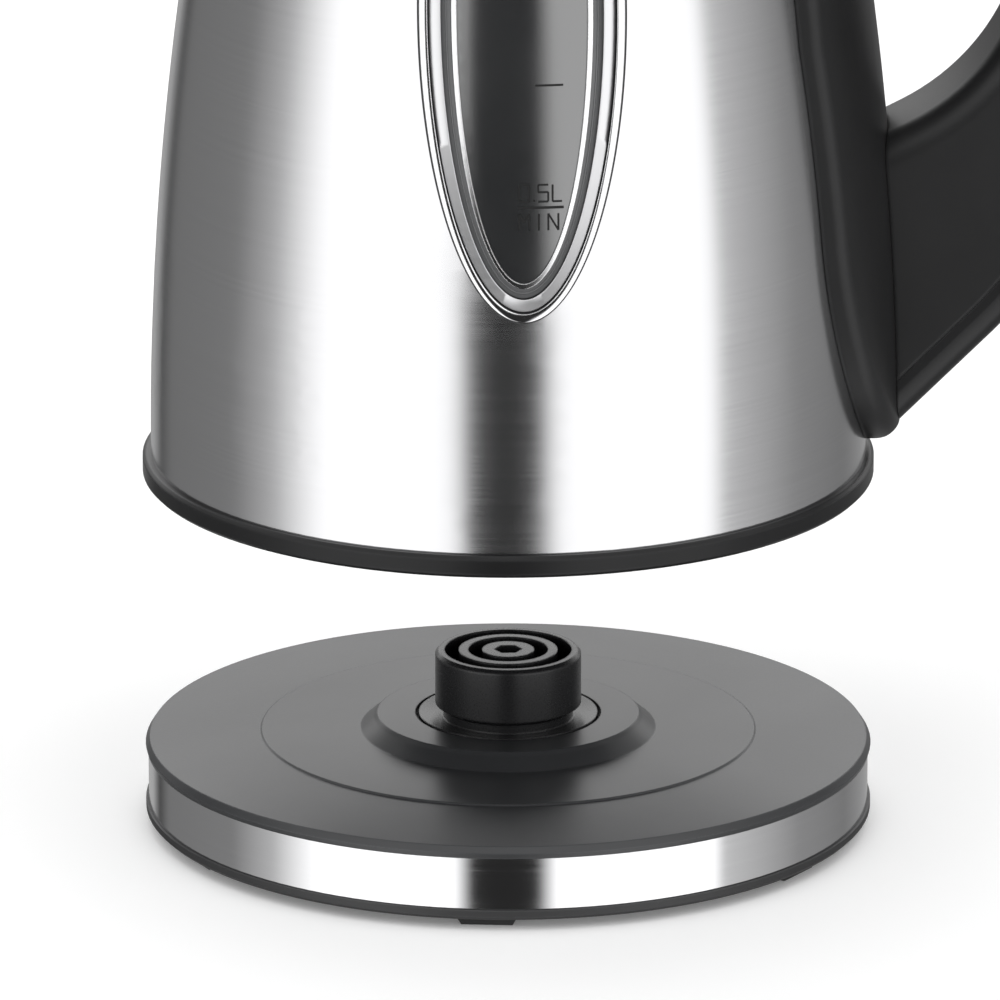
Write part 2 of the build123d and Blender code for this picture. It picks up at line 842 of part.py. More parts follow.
def grip_line():
    """Length of the straight grip, so that the handle's top edge meets the collar's."""
    slope = radians(heel_slope)
    turn = radians(top_turn)
    heel_line = (grip_out_x - heel_x - low_arc_r * (1 - sin(slope))) / cos(slope)
    low_part = heel_z + heel_line * sin(slope) + low_arc_r * cos(slope)
    top_x = grip_out_x - top_arc_r * (1 - cos(turn))
    top_part = top_arc_r * sin(turn) + (top_x - lug_x) / tan(turn)
    return body_h + collar_top_h + handle_over - low_part - top_part


def handle_path(inset):
    """Outer edge of the handle moved in by the inset: lines and arcs, from the heel to the top."""
    slope = radians(heel_slope)
    along = Vector(cos(slope), sin(slope))
    heel_line = (grip_out_x - heel_x - low_arc_r * (1 - sin(slope))) / cos(slope)
    heel = Vector(heel_x, steel_z + heel_z) + Vector(-sin(slope), cos(slope)) * inset
    low_start = heel + along * heel_line
    low = JernArc((low_start.X, low_start.Y), (along.X, along.Y), low_arc_r - inset, 90.0 - heel_slope)
    grip = Line(low @ 1, low @ 1 + Vector(0, grip_line()))
    top = JernArc(grip @ 1, (0, 1), top_arc_r - inset, top_turn)
    return [
        Line(reach_back(heel, along), low @ 0),
        low,
        grip,
        top,
        Line(top @ 1, reach_back(top @ 1, top % 1)),
    ]


def handle_outline(inset):
    """Everything from the handle's outer edge in to the middle of the body."""
    path = handle_path(inset)
    return make_face(path + [Line(path[-1] @ 1, path[0] @ 0)])


def gap_outline(grow):
    """The finger gap, made larger by the grow value."""
    centre = Vector(grip_in_x - gap_arc_r, steel_z + gap_low_z)
    reach = gap_arc_r + grow
    angle = radians(gap_start)
    start = centre + Vector(reach * cos(angle), -reach * sin(angle))
    low = JernArc((start.X, start.Y), (sin(angle), cos(angle)), reach, gap_start)
    level = (handle_path(0.0)[2] @ 1).Y
    side = Line(low @ 1, ((low @ 1).X, level))
    top = JernArc(side @ 1, (0, 1), top_arc_r - (grip_out_x - grip_in_x) + grow, top_turn)
    first = Line(reach_back(start, low % 0), low @ 0)
    last = Line(top @ 1, reach_back(top @ 1, top % 1))
    return make_face([first, low, side, top, last, Line(last @ 1, first @ 0)])


def slab(sketch, half_width):
    """An outline in the handle's plane, given a width across it."""
    return Pos(0, half_width, 0) * extrude(Plane.XZ * sketch, 2 * half_width)


def pad_solid(offset, low, high):
    """Everything inside the mounting plate's outer face, moved out by the offset."""
    arc = side_arc(lambda z: wall_r(z, pad_proud + offset), low, high)
    ends = Polyline(arc @ 0, (pad_axis_x, low), (pad_axis_x, high), arc @ 1)
    face = Plane.XZ * make_face([arc] + ends.edges())
    return revolve(face, Axis((pad_axis_x, 0, 0), (0, 0, 1)))


def handle_keep_out(offset):
    """What the handle leaves free: the mounting plate, the body and the collar's lug."""
    low = steel_z - grip_out_x / 2
    wide = pad_solid(offset, low, steel_top + fit)
    above = Pos(0, 0, steel_top - overrun) * Box(
        lug_x + offset, 2 * grip_w, 2 * grip_w, align=(Align.MIN, Align.CENTER, Align.MIN)
    )
    return wide + above


def handle_blank():
    """The whole handle in one, with its long edges rounded."""
    blank = slab(handle_outline(0.0) - gap_outline(0.0), grip_w / 2)
    long_edges = [
        edge
        for edge in blank.edges()
        if abs(abs(edge.center().Y) - grip_w / 2) < 0.01 and edge.center().X > handle_back_x + 1
    ]
    return fillet(long_edges, grip_round)


def switch_place():
    """Frame on the top of the handle: X along its edge, Z out of it."""
    line = handle_path(0.0)[-1]
    along = line % 0
    spot = line @ 0 + along * switch_along
    return Plane(origin=(spot.X, 0, spot.Y), x_dir=(along.X, 0, along.Y), z_dir=(along.Y, 0, -along.X))


def switch_pocket():
    """Hole in the cover for the rocker and its trunnions."""
    above = rocker_len / 2
    box = Box(
        rocker_len + 2 * pocket_gap,
        rocker_w + 2 * running,
        pocket_deep + above,
        align=(Align.CENTER, Align.CENTER, Align.MAX),
    )
    bar = Rot(90, 0, 0) * Cylinder(rocker_pin_r + fit, rocker_w + 2 * rocker_pin_deep + 2 * fit)
    return switch_place() * (Pos(0, 0, above) * box + Pos(0, 0, -rocker_h / 2) * bar)


def handle_body():
    """Inner half of the handle, hollow towards the cover."""
    blank = handle_blank() & slab(handle_outline(cover_t), grip_w)
    hollow = handle_outline(cover_t - overrun) - gap_outline(handle_wall)
    hollow = slab(hollow, grip_w / 2 - handle_wall) - handle_keep_out(handle_wall)
    bores = [handle_screw_bore(z) for z in handle_screw_zs]
    return without(blank, [handle_keep_out(fit), hollow] + bores)


def handle_cover():
    """Outer strip of the handle, with the rocker's pocket."""
    blank = handle_blank() - slab(handle_outline(cover_t - fit), grip_w)
    hollow = handle_outline(cover_wall) - handle_outline(cover_t + overrun)
    low_part = Pos(0, 0, steel_z + heel_z) * Box(
        2 * grip_out_x, grip_w, hollow_h, align=(Align.CENTER, Align.CENTER, Align.MIN)
    )
    hollow = (slab(hollow, grip_w / 2 - handle_wall) & low_part) - handle_keep_out(handle_wall)
    return without(blank, [handle_keep_out(fit), hollow, switch_pocket()])


def on_pad_face(point):
    """Whether a point lies on the mounting plate's outer face."""
    reach = sqrt((point.X - pad_axis_x) ** 2 + point.Y ** 2)
    return abs(reach - wall_r(point.Z, pad_proud) + pad_axis_x) < fit


def handle_plate():
    """Shield-shaped plate between the body and the handle."""
    oval = Pos(0, steel_z + pad_low_z) * Ellipse(pad_half_w, pad_low_h)
    wide_z = steel_z + pad_wide_z
    top = steel_top - fit
    sides = outline(
        (-pad_half_w, steel_z + pad_low_z),
        (pad_half_w, steel_z + pad_low_z),
        (pad_half_w, wide_z),
        (pad_top_half_w, top),
        (-pad_top_half_w, top),
        (-pad_half_w, wide_z),
    )
    shield = extrude(Plane.YZ * (oval + sides), grip_out_x)
    block = pad_solid(0.0, steel_z, top) - wall_solid(fit, steel_z - overrun, steel_top + overrun)
    plate = block & shield & slab(handle_outline(0.0), 2 * pad_half_w)
    outside = [edge for edge in plate.edges() if abs(edge.center().Y) > grip_w / 2]
    shoulders = [edge for edge in outside if on_pad_face(edge.center())]
    return without(fillet(shoulders, pad_round), [handle_screw_bore(z) for z in handle_screw_zs])


def handle_screw_at(z, radius, head):
    """A bar towards the body at one of the handle's screws, with or without its head."""
    start = wall_r(steel_z + z) + pad_proud + fit + handle_wall + screw_seat
    bar = Pos(start, 0, steel_z + z) * Rot(0, 90, 0)
    shank = bar * extrude(Circle(radius), -handle_screw_l)
    if not head:
        return shank
    return shank + bar * extrude(Circle(screw_head_r), screw_head_h)


def handle_screw_bore(z):
    """Hole for one of the handle's screws."""
    return handle_screw_at(z, screw_r + fit, False)


def handle_screws():
    """Screws from inside the handle into the mounting plate."""
    return Compound([handle_screw_at(z, screw_r, True) for z in handle_screw_zs])


def handle_leads():
    """Two wires inside the handle, up to the switch."""
    path = Wire([Plane.XZ * line.edge() for line in handle_path(lead_inset)[1:4]])
    lead = sweep(Plane(origin=path @ 0, z_dir=path % 0) * Circle(lead_r), path)
    return Compound([Pos(0, side, 0) * lead for side in (-lead_side, lead_side)])


def switch_rocker():
    """Rocker with a trunnion on each side."""
    body = Box(rocker_len, rocker_w, rocker_h + rocker_proud, align=(Align.CENTER, Align.CENTER, Align.MIN))
    body = Pos(0, 0, -rocker_h) * body
    bar = Rot(90, 0, 0) * Cylinder(rocker_pin_r, rocker_w + 2 * rocker_pin_deep)
    return switch_place() * (body + Pos(0, 0, -rocker_h / 2) * bar)


# ---- top collar and lid ----
def hinge_bar(radius, low, high):
    """A bar along the lid's hinge line."""
    return Pos(hinge_x, low, hinge_z) * Rot(-90, 0, 0) * extrude(Circle(radius), high - low)


def top_collar():
    """Ring on the top edge of the steel, with the lid's ledge, the handle's lug and the hinge ears."""
    out_r = wall_r(steel_top)
    skirt_r = wall_r(steel_top, -sheet - 2 * fit)
    low = steel_top + fit
    profile = [
        (ledge_in_r, steel_top - collar_skirt),
        (skirt_r, steel_top - collar_skirt),
        (skirt_r, low),
        (out_r, low),
        (out_r, collar_top - bevel),
        (out_r - bevel, collar_top),
        (out_r - collar_wall, collar_top),
        (out_r - collar_wall, steel_top + ledge_h),
        (ledge_in_r, steel_top + ledge_h),
    ]
    collar = turned(outline(*profile))
    inner = disc(out_r - collar_wall, low - overrun, collar_top + overrun)
    lug = Pos(0, 0, low) * Box(
        lug_x, grip_w, collar_top_h - fit, align=(Align.MIN, Align.CENTER, Align.MIN)
    )
    ear_in = knuckle_w / 2 + running
    lid_room = disc(out_r - collar_wall, steel_top, collar_top)
    ears = []
    for side in (-1, 1):
        middle = side * (ear_in + ear_w / 2)
        foot = Pos(hinge_x, middle, collar_top - knuckle_r) * Box(
            2 * knuckle_r, ear_w, hinge_up + knuckle_r, align=(Align.CENTER, Align.CENTER, Align.MIN)
        )
        ears.append(hinge_bar(knuckle_r, middle - ear_w / 2, middle + ear_w / 2) + foot - lid_room)
    collar = union([collar, lug - inner] + ears)
    notch_h = 2 * (knuckle_r + overrun)
    notch = Pos(hinge_x, 0, hinge_z) * Box(notch_h + 2 * overrun, knuckle_w + 2 * running, notch_h)
    reach = ear_in + ear_w + overrun
    return without(collar, [notch, hinge_bar(hinge_pin_r + fit, -reach, reach)])


def lid_pin():
    """Steel pin of the lid's hinge."""
    half = knuckle_w / 2 + running + ear_w
    return hinge_bar(hinge_pin_r, -half, half)


def crown_arc(radius, low, high):
    """Arc from the edge of a crowned disc to its middle, level where it meets the axis."""
    rise = high - low
    bend = (radius ** 2 + rise ** 2) / (2 * rise)
    half = radius / 2
    return ThreePointArc((radius, low), (half, high - bend + sqrt(bend ** 2 - half ** 2)), (0, high))


def lid_cover():
    """Crowned top of the lid, with the knuckle and the thumb tab."""
    out_r = wall_r(steel_top) - collar_wall - lid_gap
    low = steel_top + ledge_h + fit + seal_t + seal_seat + fit
    shoulder = collar_top - shoulder_drop
    crown = collar_top + lid_rise
    top_arc = crown_arc(out_r, shoulder, crown)
    in_arc = crown_arc(out_r - lid_wall, shoulder - lid_wall, crown - lid_wall)
    sides = [
        Line((0, crown), (0, crown - lid_wall)),
        Line(in_arc @ 0, (out_r - lid_wall, low)),
        Line((out_r - lid_wall, low), (out_r, low)),
        Line((out_r, low), (out_r, shoulder)),
    ]
    dome = turned(make_face([top_arc, in_arc] + sides))
    knuckle = hinge_bar(knuckle_r, -knuckle_w / 2, knuckle_w / 2)
    arm = Pos(hinge_x, 0, hinge_z) * Box(
        arm_reach, knuckle_w, arm_h, align=(Align.MAX, Align.CENTER, Align.CENTER)
    )
    arm = arm - wall_free(out_r - lid_wall)
    tab = Pos(-out_r + thumb_root, 0, collar_top + thumb_up) * Box(
        thumb_reach + thumb_root, thumb_w, thumb_t, align=(Align.MAX, Align.CENTER, Align.MIN)
    )
    lid = dome + knuckle + arm + tab
    return lid - hinge_bar(hinge_pin_r + fit, -knuckle_w, knuckle_w)


def wall_free(radius):
    """The hollow under the lid's crown."""
    return disc(radius, steel_top, collar_top - shoulder_drop)


def lid_inner():
    """Inner plate of the lid, with its plug and flange."""
    out_r = wall_r(steel_top) - collar_wall - lid_gap
    plug_r = ledge_in_r - plug_gap
    low = steel_top - plug_drop
    flange = steel_top + ledge_h + fit + seal_t + fit
    profile = [
        (0, low),
        (plug_r - bevel, low),
        (plug_r, low + bevel),
        (plug_r, flange),
        (out_r - 4 * fit, flange),
        (out_r - 4 * fit, flange + seal_seat - 2 * fit),
        (plug_r - shell, flange + seal_seat - 2 * fit),
        (plug_r - shell, low + shell),
        (0, low + shell),
    ]
    return turned(outline(*profile))


def lid_seal():
    """Silicone ring between the lid and the ledge."""
    low = steel_top + ledge_h + fit
    outer = wall_r(steel_top) - collar_wall - lid_gap - 8 * fit
    return ring(outer, ledge_in_r + 4 * fit, low, low + seal_t)


# ---- what is written ----
os.makedirs("parts", exist_ok=True)
nodes = [
    base_top_cover,
    base_band,
    base_bottom_cover,
    base_feet,
    base_screws,
    cord_bushing,
    cord_clamp,
    cord_clamp_screws,
    base_leads,
    connector_housing,
    connector_clamp,
    contact_earth_ring,
    contact_neutral_ring,
    contact_live_clip,
    socket_housing,
    socket_earth_ring,
    socket_neutral_ring,
    socket_live_pin,
    body_shell,
    spout,
    spout_filter,
    kettle_bottom_cover,
    bottom_screws,
    cover_tabs,
    heating_plate,
    heat_spreader,
    heating_element,
    control_body,
    control_discs,
    control_screws,
    window_bezel,
    window_gasket,
    window_frame,
    window_lens,
    window_clamp,
    handle_plate,
    handle_body,
    handle_cover,
    handle_screws,
    handle_leads,
    switch_rocker,
    top_collar,
    lid_pin,
    lid_cover,
    lid_inner,
    lid_seal,
]
for make in nodes:
    export_step(make(), "parts/" + make.__name__ + ".step")
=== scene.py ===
from math import cos, pi, radians, sin, sqrt

import bmesh
import bpy
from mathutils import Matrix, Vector


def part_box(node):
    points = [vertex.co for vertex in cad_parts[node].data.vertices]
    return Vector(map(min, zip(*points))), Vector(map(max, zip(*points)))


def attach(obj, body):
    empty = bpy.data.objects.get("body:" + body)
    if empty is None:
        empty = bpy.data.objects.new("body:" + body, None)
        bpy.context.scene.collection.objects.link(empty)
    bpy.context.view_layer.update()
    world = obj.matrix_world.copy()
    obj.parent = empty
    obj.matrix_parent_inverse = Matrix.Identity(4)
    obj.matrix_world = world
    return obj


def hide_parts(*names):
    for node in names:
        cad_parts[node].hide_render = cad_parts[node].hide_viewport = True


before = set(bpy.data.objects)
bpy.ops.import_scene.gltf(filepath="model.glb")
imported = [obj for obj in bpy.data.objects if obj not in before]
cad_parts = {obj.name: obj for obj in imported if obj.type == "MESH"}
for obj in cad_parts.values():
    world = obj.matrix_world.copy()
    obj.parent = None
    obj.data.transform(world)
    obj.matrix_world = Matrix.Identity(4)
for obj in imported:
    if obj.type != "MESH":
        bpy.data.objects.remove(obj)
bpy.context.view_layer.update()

# Camera. It stands far off with a long lens, a little above the base and a little to the spout's side.
# It looks at a point on the axis, below the window.
camera_turn = radians(-2.5)
camera_rise = radians(17.2)
camera_away = 3.0
picture_width = 0.2196
axis_point = Vector((-0.0018, 0, 0.0726))
towards_camera = Vector((
    sin(camera_turn) * cos(camera_rise),
    -cos(camera_turn) * cos(camera_rise),
    sin(camera_rise),
))
camera = bpy.data.objects.new("camera", bpy.data.cameras.new("camera"))
camera.data.lens = camera.data.sensor_width * camera_away / picture_width
camera.data.clip_end = 50
camera.location = axis_point + towards_camera * camera_away
camera.rotation_mode = "QUATERNION"
camera.rotation_quaternion = towards_camera.to_track_quat("Z", "Y")
bpy.context.scene.collection.objects.link(camera)
bpy.context.scene.camera = camera


# Nodes of a material or of the room. A Value is one socket, and sums on it add their own Math nodes.
class Value:
    def __init__(self, work, socket):
        self.work, self.socket = work, socket

    def sum_of(self, operation, first, second, clamp=False):
        return self.work.add("Math", {"operation": operation, "use_clamp": clamp}, {0: first, 1: second})

    def __add__(self, other):
        return self.sum_of("ADD", self, other)

    def __radd__(self, other):
        return self.sum_of("ADD", other, self)

    def __sub__(self, other):
        return self.sum_of("SUBTRACT", self, other)

    def __rsub__(self, other):
        return self.sum_of("SUBTRACT", other, self)

    def __mul__(self, other):
        return self.sum_of("MULTIPLY", self, other)

    def __rmul__(self, other):
        return self.sum_of("MULTIPLY", other, self)

    def __truediv__(self, other):
        return self.sum_of("DIVIDE", self, other)


class Work:
    def __init__(self, owner):
        owner.use_nodes = True
        self.owner, self.tree = owner, owner.node_tree
        self.tree.nodes.clear()

    def add(self, kind, settings=None, sockets=None, out=0):
        node = self.tree.nodes.new("ShaderNode" + kind)
        for name, value in (settings or {}).items():
            if name == "stops":
                stops = node.color_ramp.elements
                for stop in stops[1:]:
                    stops.remove(stop)
                for place, grey in value:
                    stop = stops[0] if place == value[0][0] else stops.new(place)
                    stop.position = place
                    stop.color = (grey, grey, grey, 1)
            else:
                setattr(node, name, value)
        for key, value in (sockets or {}).items():
            if isinstance(value, Value):
                self.tree.links.new(value.socket, node.inputs[key])
            else:
                node.inputs[key].default_value = value
        return Value(self, node.outputs[out]) if node.outputs else None

    def blend(self, share, first, second):
        """Two colours mixed, each a link or three numbers."""
        first, second = (c if isinstance(c, Value) else (*c, 1) for c in (first, second))
        return self.add("Mix", {"data_type": "RGBA"}, {0: share, 6: first, 7: second}, out=2)


# The room: a soft white studio with a narrow dark screen behind the camera and another at the back.
# Brightness is a ramp round the object; the sky is pale overhead and brighter low behind the object.
room = bpy.data.worlds.new("studio")
bpy.context.scene.world = room
studio = Work(room)
direction = studio.add("TexCoord", out=0)
parts = studio.add("SeparateXYZ", sockets={0: direction})
east, north, up = (Value(studio, parts.socket.node.outputs[i]) for i in range(3))
right = east * cos(camera_turn) + north * sin(camera_turn)
near = east * sin(camera_turn) - north * cos(camera_turn)
around = right.sum_of("ARCTAN2", right, near) / (2 * pi) + 0.5
bright = 1.55
screens = [
    (0.000, 0.42), (0.055, 0.42), (0.083, 0.07), (0.111, 0.20), (0.225, 0.24), (0.275, 0.55),
    (0.330, bright), (0.452, bright), (0.468, 0.025), (0.526, 0.025), (0.544, bright),
    (0.690, bright), (0.704, 0.66), (0.797, 0.30), (0.880, 0.22), (1.000, 0.42),
]
half_light = [(place, glow / 2) for place, glow in screens]
ramp = studio.add("ValToRGB", {"stops": half_light}, {0: around})
overhead = studio.add("MapRange", {"interpolation_type": "SMOOTHSTEP"}, {0: up, 1: 0.45, 2: 0.75})
behind = studio.add("MapRange", {"interpolation_type": "SMOOTHSTEP"}, {0: near, 1: -0.55, 2: -0.85})
low_sky = studio.add("MapRange", {"interpolation_type": "SMOOTHSTEP"}, {0: up, 1: 0.10, 2: 0.24})
backed = studio.blend(behind * low_sky, ramp, (0.80, 0.80, 0.80))
level = studio.blend(overhead, backed, (0.62, 0.62, 0.62))
seen = studio.add("LightPath", out=0)
shown = studio.blend(seen, level, (0.6, 0.6, 0.6))
light = studio.add("Background", sockets={0: shown, 1: 2.0})
studio.add("OutputWorld", sockets={0: light})

bpy.context.scene.view_settings.view_transform = "Standard"

# The floor: one pale sheet under the feet. Shiny surfaces don't mirror it.
floor_mesh = bpy.data.meshes.new("floor")
floor_half = 4.0
signs = [(-1, -1), (1, -1), (1, 1), (-1, 1)]
corners = [(east * floor_half, north * floor_half, 0) for east, north in signs]
floor_mesh.from_pydata(corners, [], [(0, 1, 2, 3)])
floor = bpy.data.objects.new("floor", floor_mesh)
bpy.context.scene.collection.objects.link(floor)
paper = Work(bpy.data.materials.new("pale_paper"))
pulp = paper.add("TexNoise", sockets={"Scale": 3.0, "Detail": 3.0})
tone = paper.blend(pulp, (0.93, 0.93, 0.93), (0.96, 0.96, 0.96))
sheet = paper.add("BsdfPrincipled", sockets={
    "Base Color": tone, "Roughness": 0.9, "Emission Color": (1, 1, 1, 1), "Emission Strength": 0.12,
})
paper.add("OutputMaterial", sockets={0: sheet})
floor_mesh.materials.append(paper.owner)
floor.visible_glossy = False


# Power base, top cover. Injection moulded black plastic with a fine spark-eroded texture, snapped and
# screwed over the band. Handling has polished its edges a little.
def dress(finish, *names):
    """Gives a finish to CAD nodes by name."""
    for name in names:
        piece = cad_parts[name]
        if not piece.material_slots:
            piece.data.materials.append(finish)
        for place in piece.material_slots:
            place.material = finish


def moulded(name, colour, gloss, grain=0.00002, size=2600.0, round_edge=0.0005, sheen=1.5):
    """A moulded plastic: cloudy colour, fine grain in relief, and edges rubbed smoother and paler."""
    made = Work(bpy.data.materials.new(name))
    where = made.add("TexCoord", out=3)
    cloud = made.add("TexNoise", sockets={"Vector": where, "Scale": 38.0, "Detail": 4.0, "Roughness": 0.6})
    speck = made.add("TexNoise", sockets={"Vector": where, "Scale": size, "Detail": 2.0})
    smear = made.add("TexNoise", sockets={"Vector": where, "Scale": 9.0, "Detail": 5.0, "Distortion": 1.2})
    soft = made.add("Bevel", {"samples": 4}, {"Radius": round_edge})
    plain = made.add("NewGeometry", out=1)
    lean = made.add("VectorMath", {"operation": "DOT_PRODUCT"}, {0: soft, 1: plain}, out=1)
    edge = made.add("MapRange", sockets={0: lean, 1: 0.995, 2: 0.90})
    worn = edge * (0.35 + cloud * 0.9)
    deep = tuple(0.8 * c for c in colour)
    pale = tuple(1.25 * c + 0.002 for c in colour)
    rubbed = tuple(1.7 * c + 0.01 for c in colour)
    tint = made.blend(worn, made.blend(cloud, deep, pale), rubbed)
    rough = gloss + (smear - 0.5) * 0.10 + (speck - 0.5) * 0.06 - worn * 0.08
    relief = made.add("Bump", sockets={"Strength": 0.6, "Distance": grain, "Height": speck, "Normal": soft})
    skin = made.add("BsdfPrincipled", sockets={
        "Base Color": tint, "Roughness": rough, "Normal": relief, "IOR": sheen,
    })
    made.add("OutputMaterial", sockets={0: skin})
    return made.owner


base_black = moulded("base_black", (0.030, 0.031, 0.033), 0.33)
dress(base_black, "base_top_cover")


# Band round the base. Stainless strip rolled to a ring and polished, with faint lines from the rolls.
def polished(name, colour, gloss, along=(6, 6, 900), depth=0.000004, marks=0.12):
    """Bright steel: hairlines along the strip, a few wiping marks, and slightly uneven gloss."""
    made = Work(bpy.data.materials.new(name))
    where = made.add("TexCoord", out=3)
    stretched = made.add("Mapping", sockets={0: where, 3: along})
    fibre = {"Vector": stretched, "Scale": 1.0, "Detail": 5.0, "Roughness": 0.7}
    lines = made.add("TexNoise", sockets=fibre)
    wipes = made.add("TexNoise", sockets={"Vector": where, "Scale": 14.0, "Detail": 4.0, "Distortion": 2.0})
    soft = made.add("Bevel", {"samples": 4}, {"Radius": 0.0003})
    tint = made.blend(lines, tuple(0.92 * c for c in colour), colour)
    rough = gloss + (lines - 0.5) * marks + (wipes - 0.5) * 0.06
    relief = made.add("Bump", sockets={"Strength": 0.5, "Distance": depth, "Height": lines, "Normal": soft})
    skin = made.add("BsdfPrincipled", sockets={
        "Base Color": tint, "Metallic": 1.0, "Roughness": rough, "Normal": relief,
    })
    made.add("OutputMaterial", sockets={0: skin})
    return made.owner


band_steel = polished("band_steel", (0.80, 0.80, 0.81), 0.10)
dress(band_steel, "base_band")

# Bottom cover, its rubber feet, and the bushing that the cord would come out of. The cover is a duller
# moulding than the top; the feet and the bushing are moulded rubber, pressed in.
under_black = moulded("under_black", (0.022, 0.022, 0.023), 0.50, grain=0.00004)
foot_rubber = moulded("foot_rubber", (0.016, 0.016, 0.016), 0.78, grain=0.00005, size=1500.0)
dress(under_black, "base_bottom_cover")
dress(foot_rubber, "base_feet", "cord_bushing")

# Screws of the base, the kettle's foot, the heater and the handle. Zinc-plated, slightly blue.
zinc = polished("zinc_plate", (0.55, 0.56, 0.58), 0.32, along=(400, 400, 400))
dress(zinc, "base_screws", "cord_clamp_screws", "bottom_screws", "control_screws", "handle_screws")

# Connector post, with its retaining ring and the cord clamp. Heat-resistant mouldings; the post is smoother
# than the cover.
post_black = moulded("post_black", (0.014, 0.014, 0.015), 0.28, grain=0.00001, round_edge=0.0007)
inner_black = moulded("inner_black", (0.024, 0.024, 0.024), 0.55)
dress(post_black, "connector_housing")
dress(inner_black, "connector_clamp", "cord_clamp", "control_body", "socket_housing")


# Contacts and ring pins. Stamped brass, bright where the two halves wipe each other.
brass = polished("contact_brass", (0.72, 0.52, 0.26), 0.24, along=(60, 60, 1400))
dress(brass, "contact_earth_ring", "contact_neutral_ring", "contact_live_clip")
dress(brass, "socket_earth_ring", "socket_neutral_ring", "socket_live_pin", "control_discs")

# Leads in the base and in the handle. Brown sleeve over stranded copper.
sleeve = moulded("lead_sleeve", (0.10, 0.05, 0.025), 0.5, size=900.0)
dress(sleeve, "base_leads", "handle_leads")

# Kettle's bottom cover. Black moulding; its rounded edge shows as a rim below the steel.
rim_black = moulded("rim_black", (0.009, 0.009, 0.0095), 0.32, round_edge=0.0008, sheen=1.32)
dress(rim_black, "kettle_bottom_cover")

# Heater: steel vessel floor, pressed aluminium plate, and the tubular element, tinted brown by heat.
floor_steel = polished("floor_steel", (0.55, 0.55, 0.55), 0.36, along=(90, 90, 90))
plate_metal = polished("plate_aluminium", (0.75, 0.75, 0.76), 0.42, along=(250, 250, 250))
tube_metal = polished("element_tube", (0.33, 0.29, 0.25), 0.40, along=(120, 120, 120))
dress(floor_steel, "heating_plate", "cover_tabs", "window_clamp", "lid_pin")
dress(plate_metal, "heat_spreader")
dress(tube_metal, "heating_element")


# Body and spout. Stainless sheet drawn to shape and brushed round the axis, so its hairlines lie level.
def brushed(name, colour, gloss):
    """Steel brushed round the axis: long level hairlines in tone, gloss and relief, and soft cloudy wear."""
    made = Work(bpy.data.materials.new(name))
    where = made.add("TexCoord", out=3)
    fine = made.add("Mapping", sockets={0: where, 3: (14, 14, 7500)})
    coarse = made.add("Mapping", sockets={0: where, 3: (7, 7, 1700)})
    hair = made.add("TexNoise", sockets={"Vector": fine, "Scale": 1.0, "Detail": 3.0, "Roughness": 0.6})
    band = made.add("TexNoise", sockets={"Vector": coarse, "Scale": 1.0, "Detail": 4.0, "Roughness": 0.65})
    cloud = made.add("TexNoise", sockets={"Vector": where, "Scale": 16.0, "Detail": 4.0})
    grain = hair * 0.6 + band * 0.4
    tint = made.blend(grain, tuple(0.92 * c for c in colour), tuple(1.05 * c for c in colour))
    rough = gloss + (grain - 0.5) * 0.14 + (cloud - 0.5) * 0.03
    relief = made.add("Bump", sockets={"Strength": 0.3, "Distance": 0.000003, "Height": grain})
    skin = made.add("BsdfPrincipled", sockets={
        "Base Color": tint, "Metallic": 1.0, "Roughness": rough, "Normal": relief, "Anisotropic": 0.6,
    })
    made.add("OutputMaterial", sockets={0: skin})
    return made.owner


body_steel = brushed("body_steel", (0.70, 0.70, 0.71), 0.15)
dress(body_steel, "body_shell", "spout")

# Water window. A polished steel bezel with a satin inner band clips into the oval hole in the side; a soft
# gasket seals it, a bright ring frames the smoked pane, and the level marks are printed on the pane.
wall_low, wall_bend, wall_foot = 0.0784, 0.775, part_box("body_shell")[0][2]
oval_low, oval_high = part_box("window_bezel")
oval_half_w, oval_half_h = oval_high[0], (oval_high[2] - oval_low[2]) / 2
oval_z = (oval_high[2] + oval_low[2]) / 2


def on_side(x, z, out):
    """A point on the body's side, at a place across and up it, moved out from the steel."""
    reach = wall_low - wall_bend + sqrt((wall_bend + out) ** 2 - (z - wall_foot) ** 2)
    return (x, -sqrt(reach ** 2 - x ** 2), z)


def oval_ring(name, profile, finishes, kinds, steps=240):
    """A ring round the window, from a closed profile (inset, height) in mm and a finish for each face."""
    count = len(profile)
    points, faces, kind_of = [], [], []
    for i in range(steps):
        turn = 2 * pi * i / steps
        for inset, out in profile:
            x = (oval_half_w - inset / 1000) * cos(turn)
            z = oval_z + (oval_half_h - inset / 1000) * sin(turn)
            points.append(on_side(x, z, out / 1000))
    for i in range(steps):
        for j in range(count):
            after, beside = (i + 1) % steps, (j + 1) % count
            faces.append((i * count + j, after * count + j, after * count + beside, i * count + beside))
            kind_of.append(kinds[j])
    mesh = bpy.data.meshes.new(name)
    mesh.from_pydata(points, [], faces)
    for finish in finishes:
        mesh.materials.append(finish)
    for face, kind in zip(mesh.polygons, kind_of):
        face.material_index = kind
        face.use_smooth = True
    shape = bmesh.new()
    shape.from_mesh(mesh)
    bmesh.ops.recalc_face_normals(shape, faces=shape.faces)
    shape.to_mesh(mesh)
    shape.free()
    piece = bpy.data.objects.new(name, mesh)
    bpy.context.scene.collection.objects.link(piece)
    mesh.set_sharp_from_angle(angle=radians(38))
    return piece


